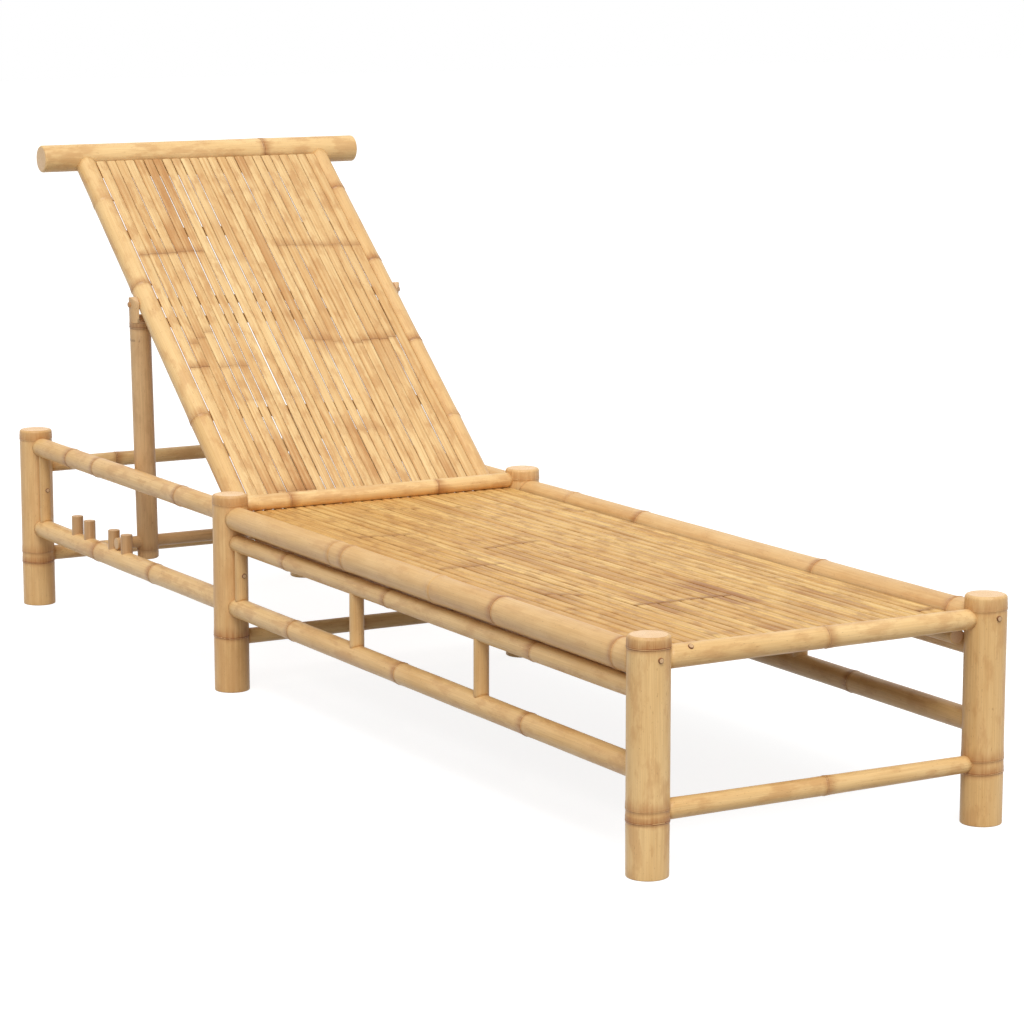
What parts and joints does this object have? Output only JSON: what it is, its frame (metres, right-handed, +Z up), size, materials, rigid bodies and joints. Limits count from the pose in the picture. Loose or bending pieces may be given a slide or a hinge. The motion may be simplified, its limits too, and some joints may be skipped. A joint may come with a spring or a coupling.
{
  "type": "sun lounger",
  "caption": "Bamboo sun lounger on short posts, with a slatted seat and a slatted backrest that tilts on a hinge rod and stands on a swinging prop held between pegs.",
  "frame": {"origin": "on the floor under the middle of the whole lounger", "axes": "+X across to the side that is on the right when facing the head from the foot, +Y along the lounger towards the head, +Z up"},
  "size_m": [0.5688, 2.0104, 0.786],
  "materials": {
    "bamboo_pole": "satin, pale golden bamboo culm with darker node rings",
    "bamboo_split": "satin, split bamboo with fine grain",
    "bamboo_brown": "satin, browner weathered bamboo",
    "hardwood_pin": "matt cut wood"
  },
  "bodies": {
    "frame": {"foot_cross": "bamboo_pole", "foot_cross_pin": "hardwood_pin", "foot_low_cross": "bamboo_pole", "foot_post_pins": "hardwood_pin", "guard_pole_head_left": "bamboo_pole", "guard_pole_head_right": "bamboo_pole", "guard_pole_mid_left": "bamboo_pole", "guard_pole_mid_right": "bamboo_pole", "guard_pole_pins": "hardwood_pin", "head_cross": "bamboo_pole", "head_low_cross": "bamboo_pole", "head_rail_left": "bamboo_pole", "head_rail_right": "bamboo_pole", "hinge_rod": "hardwood_pin", "ledger_left": "bamboo_pole", "ledger_pins": "hardwood_pin", "ledger_right": "bamboo_pole", "low_rail_left": "bamboo_pole", "low_rail_right": "bamboo_pole", "mid_cross": "bamboo_pole", "mid_low_cross": "bamboo_pole", "pegs_left": "bamboo_brown", "pegs_right": "bamboo_brown", "post_foot_left": "bamboo_pole", "post_foot_right": "bamboo_pole", "post_head_left": "bamboo_pole", "post_head_right": "bamboo_pole", "post_mid_left": "bamboo_pole", "post_mid_right": "bamboo_pole", "seat_batten_1": "bamboo_pole", "seat_batten_2": "bamboo_pole", "seat_batten_3": "bamboo_pole", "seat_batten_4": "bamboo_pole", "seat_rail_left": "bamboo_pole", "seat_rail_right": "bamboo_pole", "seat_slats": "bamboo_split", "slot_rail_left": "bamboo_pole", "slot_rail_right": "bamboo_pole", "strut_one_left": "bamboo_pole", "strut_one_right": "bamboo_pole", "strut_two_left": "bamboo_pole", "strut_two_right": "bamboo_pole", "under_rail_left": "bamboo_pole", "under_rail_right": "bamboo_pole"},
    "backrest": {"back_batten_1": "bamboo_pole", "back_batten_2": "bamboo_pole", "back_batten_3": "bamboo_pole", "back_batten_4": "bamboo_pole", "back_rail_left": "bamboo_pole", "back_rail_right": "bamboo_pole", "back_slats": "bamboo_split", "headbar": "bamboo_pole"},
    "prop": {"prop_bar": "bamboo_brown", "prop_leg_left": "bamboo_brown", "prop_leg_right": "bamboo_brown", "prop_rod": "hardwood_pin"}
  },
  "joints": [
    {"name": "backrest_tilt", "type": "hinge", "parent": "frame", "child": "backrest", "pos_m": [0, 0.25925, 0.2698], "axis": [1, 0, 0], "range_deg": [0, 13]},
    {"name": "prop_swing", "type": "hinge", "parent": "backrest", "child": "prop", "pos_m": [0, 0.59681, 0.54581], "axis": [1, 0, 0], "range_deg": [-2.5, 0]}
  ],
  "couplings": [
    {"joint": "prop_swing", "follows": "backrest_tilt", "ratio": -0.15}
  ]
}
